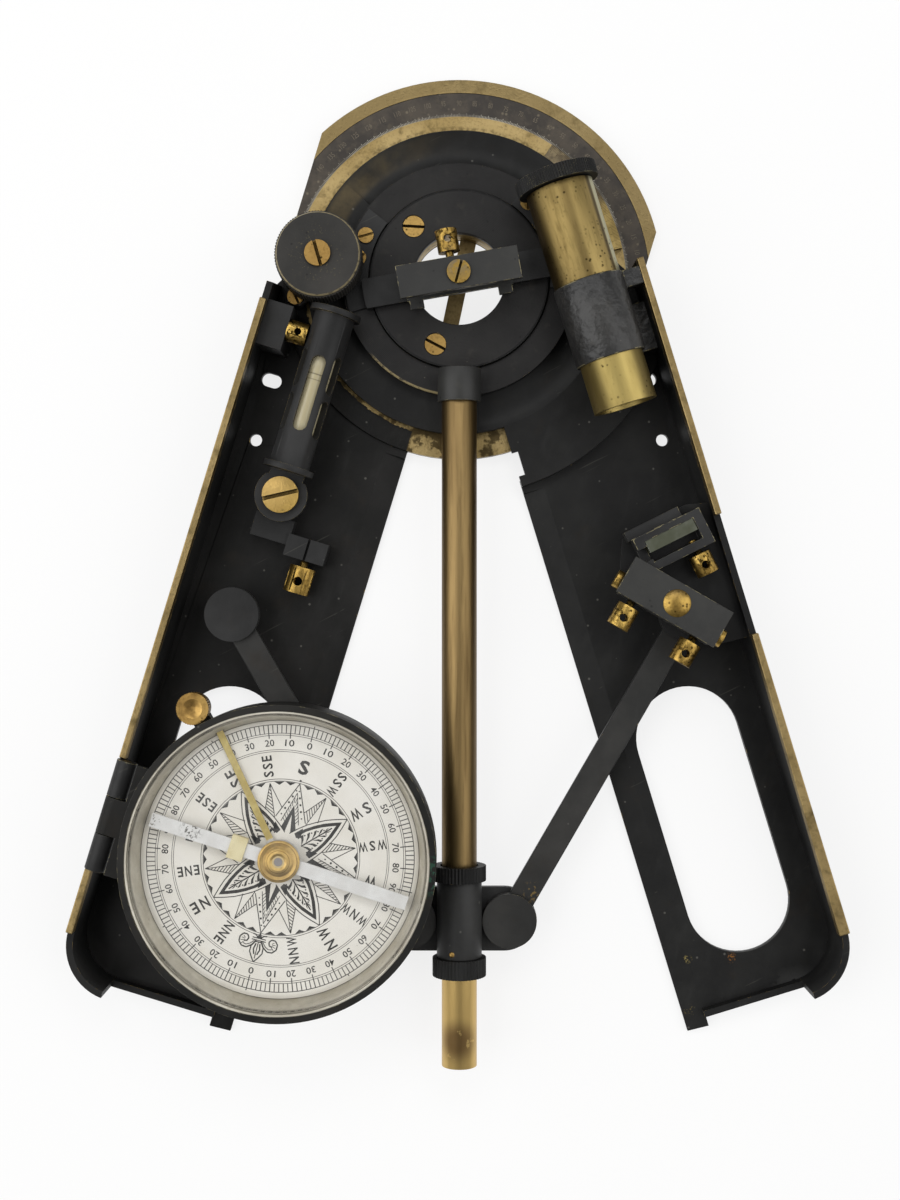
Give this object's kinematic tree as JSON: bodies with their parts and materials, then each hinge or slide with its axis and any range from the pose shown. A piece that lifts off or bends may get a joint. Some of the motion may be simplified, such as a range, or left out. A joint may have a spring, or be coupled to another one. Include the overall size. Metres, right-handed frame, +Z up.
{
  "type": "surveying sextant",
  "caption": "Folding surveying sextant: two hinged leg trays, graduated limb, bisecting rod with slider links, telescope, mirrors, level and hinged compass.",
  "frame": {"origin": "on the main pivot axis, at the underside of the bar that crosses the pivot hole, level with the undersides of the legs", "axes": "-Y runs down the bisecting rod towards the tips of the legs, +X towards the telescope leg, +Z up out of the trays towards the user"},
  "size_m": [0.1877, 0.2418, 0.033],
  "materials": {
    "black_lacquer": "satin black lacquer on brass",
    "dark_bronzed": "dull dark bronzed brass",
    "aged_brass": "aged khaki-gold brass",
    "rod_brass": "brown polished brass",
    "tube_brass": "pitted warm brass",
    "screw_brass": "orange-gold brass",
    "tarnished_silver": "dark tarnished silvered band",
    "vernier_silver": "worn tarnished silvering",
    "mirror_glass": "silvered mirror glass",
    "green_glass": "greenish plate glass",
    "lens_glass": "polished lens glass",
    "vial_glass": "vial of pale spirit",
    "cover_glass": "clear cover glass",
    "silvered_ring": "cream silvered brass",
    "dial_card": "printed paper dial under glass",
    "needle_white": "white painted steel",
    "rider_cream": "cream painted rider",
    "strip_brass": "pale brass spring strip"
  },
  "bodies": {
    "left_leg": {"left_leg_plate": "black_lacquer", "left_leg_wall": "black_lacquer", "left_leg_rim": "aged_brass", "limb_plate": "aged_brass", "limb_scale": "tarnished_silver", "pivot_bush": "aged_brass", "pivot_cap": "dark_bronzed", "hub_screws": "screw_brass", "station_bar": "aged_brass", "pinion_cock": "black_lacquer", "level_housing": "black_lacquer", "level_vial": "vial_glass", "level_screws": "screw_brass", "level_brackets": "black_lacquer", "left_link_stud": "black_lacquer", "hinge_fixed_leaf": "black_lacquer", "hinge_pin": "aged_brass"},
    "right_leg": {"right_leg_plate": "black_lacquer", "right_leg_wall": "black_lacquer", "right_leg_rim": "aged_brass", "vernier": "vernier_silver", "telescope_collar": "dark_bronzed", "telescope_tube": "tube_brass", "objective_lens": "lens_glass", "horizon_bracket": "black_lacquer", "horizon_glass_frame": "black_lacquer", "horizon_glass": "green_glass", "horizon_mirror_box": "dark_bronzed", "horizon_mirror": "mirror_glass", "horizon_screws": "screw_brass", "right_link_stud": "black_lacquer"},
    "index_arm": {"index_ring": "dark_bronzed", "rod_collar": "dark_bronzed", "rod": "rod_brass", "mirror_bridge": "black_lacquer", "bridge_screws": "screw_brass", "index_mirror_frame": "dark_bronzed", "index_mirror": "mirror_glass", "index_screws": "screw_brass"},
    "left_link": {"left_link": "black_lacquer"},
    "slider": {"slider_sleeve": "black_lacquer", "slider_pivots": "black_lacquer"},
    "upper_nut": {"upper_nut": "black_lacquer"},
    "lower_nut": {"lower_nut": "black_lacquer"},
    "right_link": {"right_link": "black_lacquer"},
    "knob": {"knob": "dark_bronzed", "pinion": "aged_brass", "knob_screw": "screw_brass"},
    "compass": {"compass_case": "black_lacquer", "compass_bezel": "silvered_ring", "compass_glass": "cover_glass", "compass_dial": "dial_card", "lifter": "strip_brass"},
    "lifter_screw": {"lifter_screw": "screw_brass"},
    "needle": {"needle": "needle_white", "needle_cap": "screw_brass", "needle_rider": "rider_cream"},
    "eyepiece": {"draw_tube": "tube_brass", "eyepiece_ring": "black_lacquer", "eye_lens": "lens_glass"}
  },
  "joints": [
    {"name": "opening", "type": "hinge", "parent": "left_leg", "child": "right_leg", "pos_m": [0, 0, 0], "axis": [0, 0, 1], "range_deg": [-32.4, 81]},
    {"name": "index_turn", "type": "hinge", "parent": "left_leg", "child": "index_arm", "pos_m": [0, 0, 0], "axis": [0, 0, 1], "range_deg": [-16.3, 40.6]},
    {"name": "left_link_turn", "type": "hinge", "parent": "left_leg", "child": "left_link", "pos_m": [-0.0553, -0.08202, 0.0098], "axis": [0, 0, 1], "range_deg": [-34.2, 85.4]},
    {"name": "slider_turn", "type": "hinge", "parent": "left_link", "child": "slider", "pos_m": [-0.0122, -0.15644, 0.0098], "axis": [0, 0, 1], "range_deg": [-44.9, 18.1]},
    {"name": "right_link_turn", "type": "hinge", "parent": "right_leg", "child": "right_link", "pos_m": [0.0553, -0.08202, 0.0098], "axis": [0, 0, 1], "range_deg": [-85.4, 34.2]},
    {"name": "knob_turn", "type": "hinge", "parent": "left_leg", "child": "knob", "pos_m": [-0.03377, 0.00397, 0.006], "axis": [0, 0, 1], "range_deg": [-163, 66]},
    {"name": "upper_nut_turn", "type": "hinge", "parent": "slider", "child": "upper_nut", "pos_m": [0, -0.14494, 0.0122], "axis": [0, -1, 0], "continuous": true},
    {"name": "lower_nut_turn", "type": "hinge", "parent": "slider", "child": "lower_nut", "pos_m": [0, -0.16844, 0.0122], "axis": [0, -1, 0], "continuous": true},
    {"name": "compass_lid", "type": "hinge", "parent": "left_leg", "child": "compass", "pos_m": [-0.08273, -0.12968, 0.02], "axis": [-0.2924, -0.9563, 0], "range_deg": [0, 115]},
    {"name": "needle_turn", "type": "hinge", "parent": "compass", "child": "needle", "pos_m": [-0.04203, -0.13919, 0.028], "axis": [0, 0, 1], "continuous": true},
    {"name": "lifter_screw_turn", "type": "hinge", "parent": "compass", "child": "lifter_screw", "pos_m": [-0.06174, -0.10364, 0.027], "axis": [0, 0, 1], "range_deg": [0, 180]},
    {"name": "focus_slide", "type": "slide", "parent": "right_leg", "child": "eyepiece", "axis": [-0.2924, 0.9563, 0], "range_m": [0, 0.004]}
  ],
  "couplings": [
    {"joint": "index_turn", "follows": "opening", "ratio": 0.5},
    {"joint": "left_link_turn", "follows": "opening", "ratio": 1.0525},
    {"joint": "slider_turn", "follows": "opening", "ratio": -0.5525},
    {"joint": "right_link_turn", "follows": "opening", "ratio": -1.0525},
    {"joint": "knob_turn", "follows": "opening", "ratio": -2}
  ]
}
